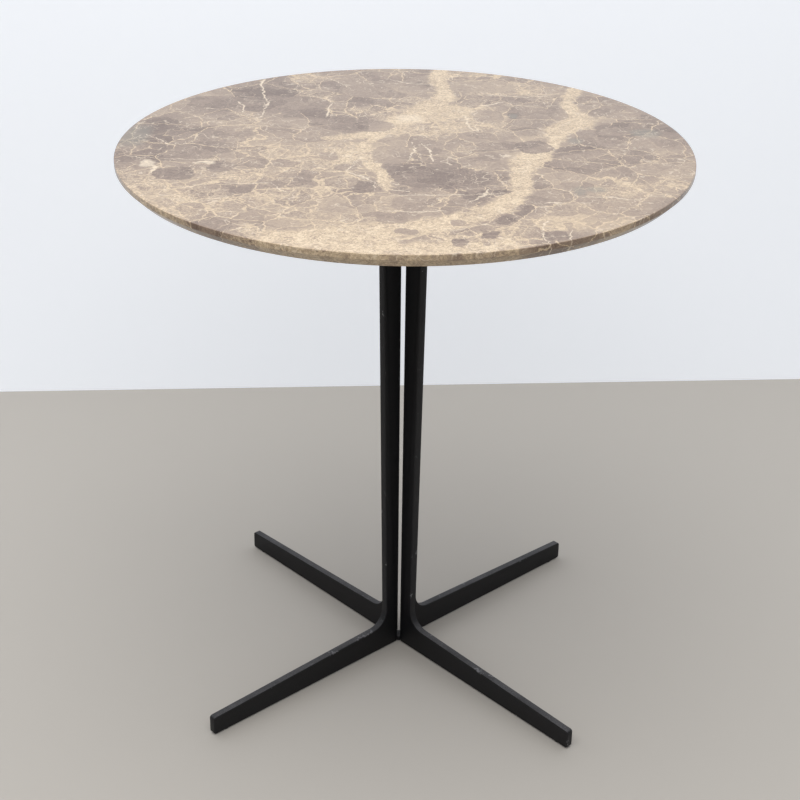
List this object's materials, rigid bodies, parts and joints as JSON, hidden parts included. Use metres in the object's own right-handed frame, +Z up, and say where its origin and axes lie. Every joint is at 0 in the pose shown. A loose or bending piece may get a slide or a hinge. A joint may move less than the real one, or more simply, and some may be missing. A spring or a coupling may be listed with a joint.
{
  "type": "round pedestal table",
  "caption": "Round cafe table: bevelled brown and cream marble disc on a slim black pedestal of L-shaped flat steel blades set in a cross.",
  "frame": {"origin": "on the floor, under the middle of the round top", "axes": "+Z up, the pedestal's axis; the blades stand on the diagonals between +X and +Y, and -Y is the front"},
  "size_m": [0.7, 0.7, 0.72],
  "materials": {
    "honed_marble": "satin",
    "black_powder_coat": "satin",
    "zinc_plated_steel": "satin",
    "brass_insert": "satin",
    "black_nylon": "matte",
    "rubber_pad": "matte"
  },
  "bodies": {
    "root": {"marble_top": "honed_marble", "mounting_plate": "black_powder_coat", "foot_hub": "black_powder_coat", "leg_front_left": "black_powder_coat", "leg_front_right": "black_powder_coat", "leg_rear_right": "black_powder_coat", "leg_rear_left": "black_powder_coat", "glide_front_left": "black_nylon", "glide_front_right": "black_nylon", "glide_rear_right": "black_nylon", "glide_rear_left": "black_nylon", "post_screw_front_left_inner": "zinc_plated_steel", "post_screw_front_left_outer": "zinc_plated_steel", "post_screw_front_right_inner": "zinc_plated_steel", "post_screw_front_right_outer": "zinc_plated_steel", "post_screw_rear_right_inner": "zinc_plated_steel", "post_screw_rear_right_outer": "zinc_plated_steel", "post_screw_rear_left_inner": "zinc_plated_steel", "post_screw_rear_left_outer": "zinc_plated_steel", "top_screw_front": "zinc_plated_steel", "top_screw_right": "zinc_plated_steel", "top_screw_rear": "zinc_plated_steel", "top_screw_left": "zinc_plated_steel", "top_washer_front": "zinc_plated_steel", "top_washer_right": "zinc_plated_steel", "top_washer_rear": "zinc_plated_steel", "top_washer_left": "zinc_plated_steel", "top_pad_front": "rubber_pad", "top_pad_right": "rubber_pad", "top_pad_rear": "rubber_pad", "top_pad_left": "rubber_pad", "top_insert_front": "brass_insert", "top_insert_right": "brass_insert", "top_insert_rear": "brass_insert", "top_insert_left": "brass_insert"}
  },
  "joints": []
}
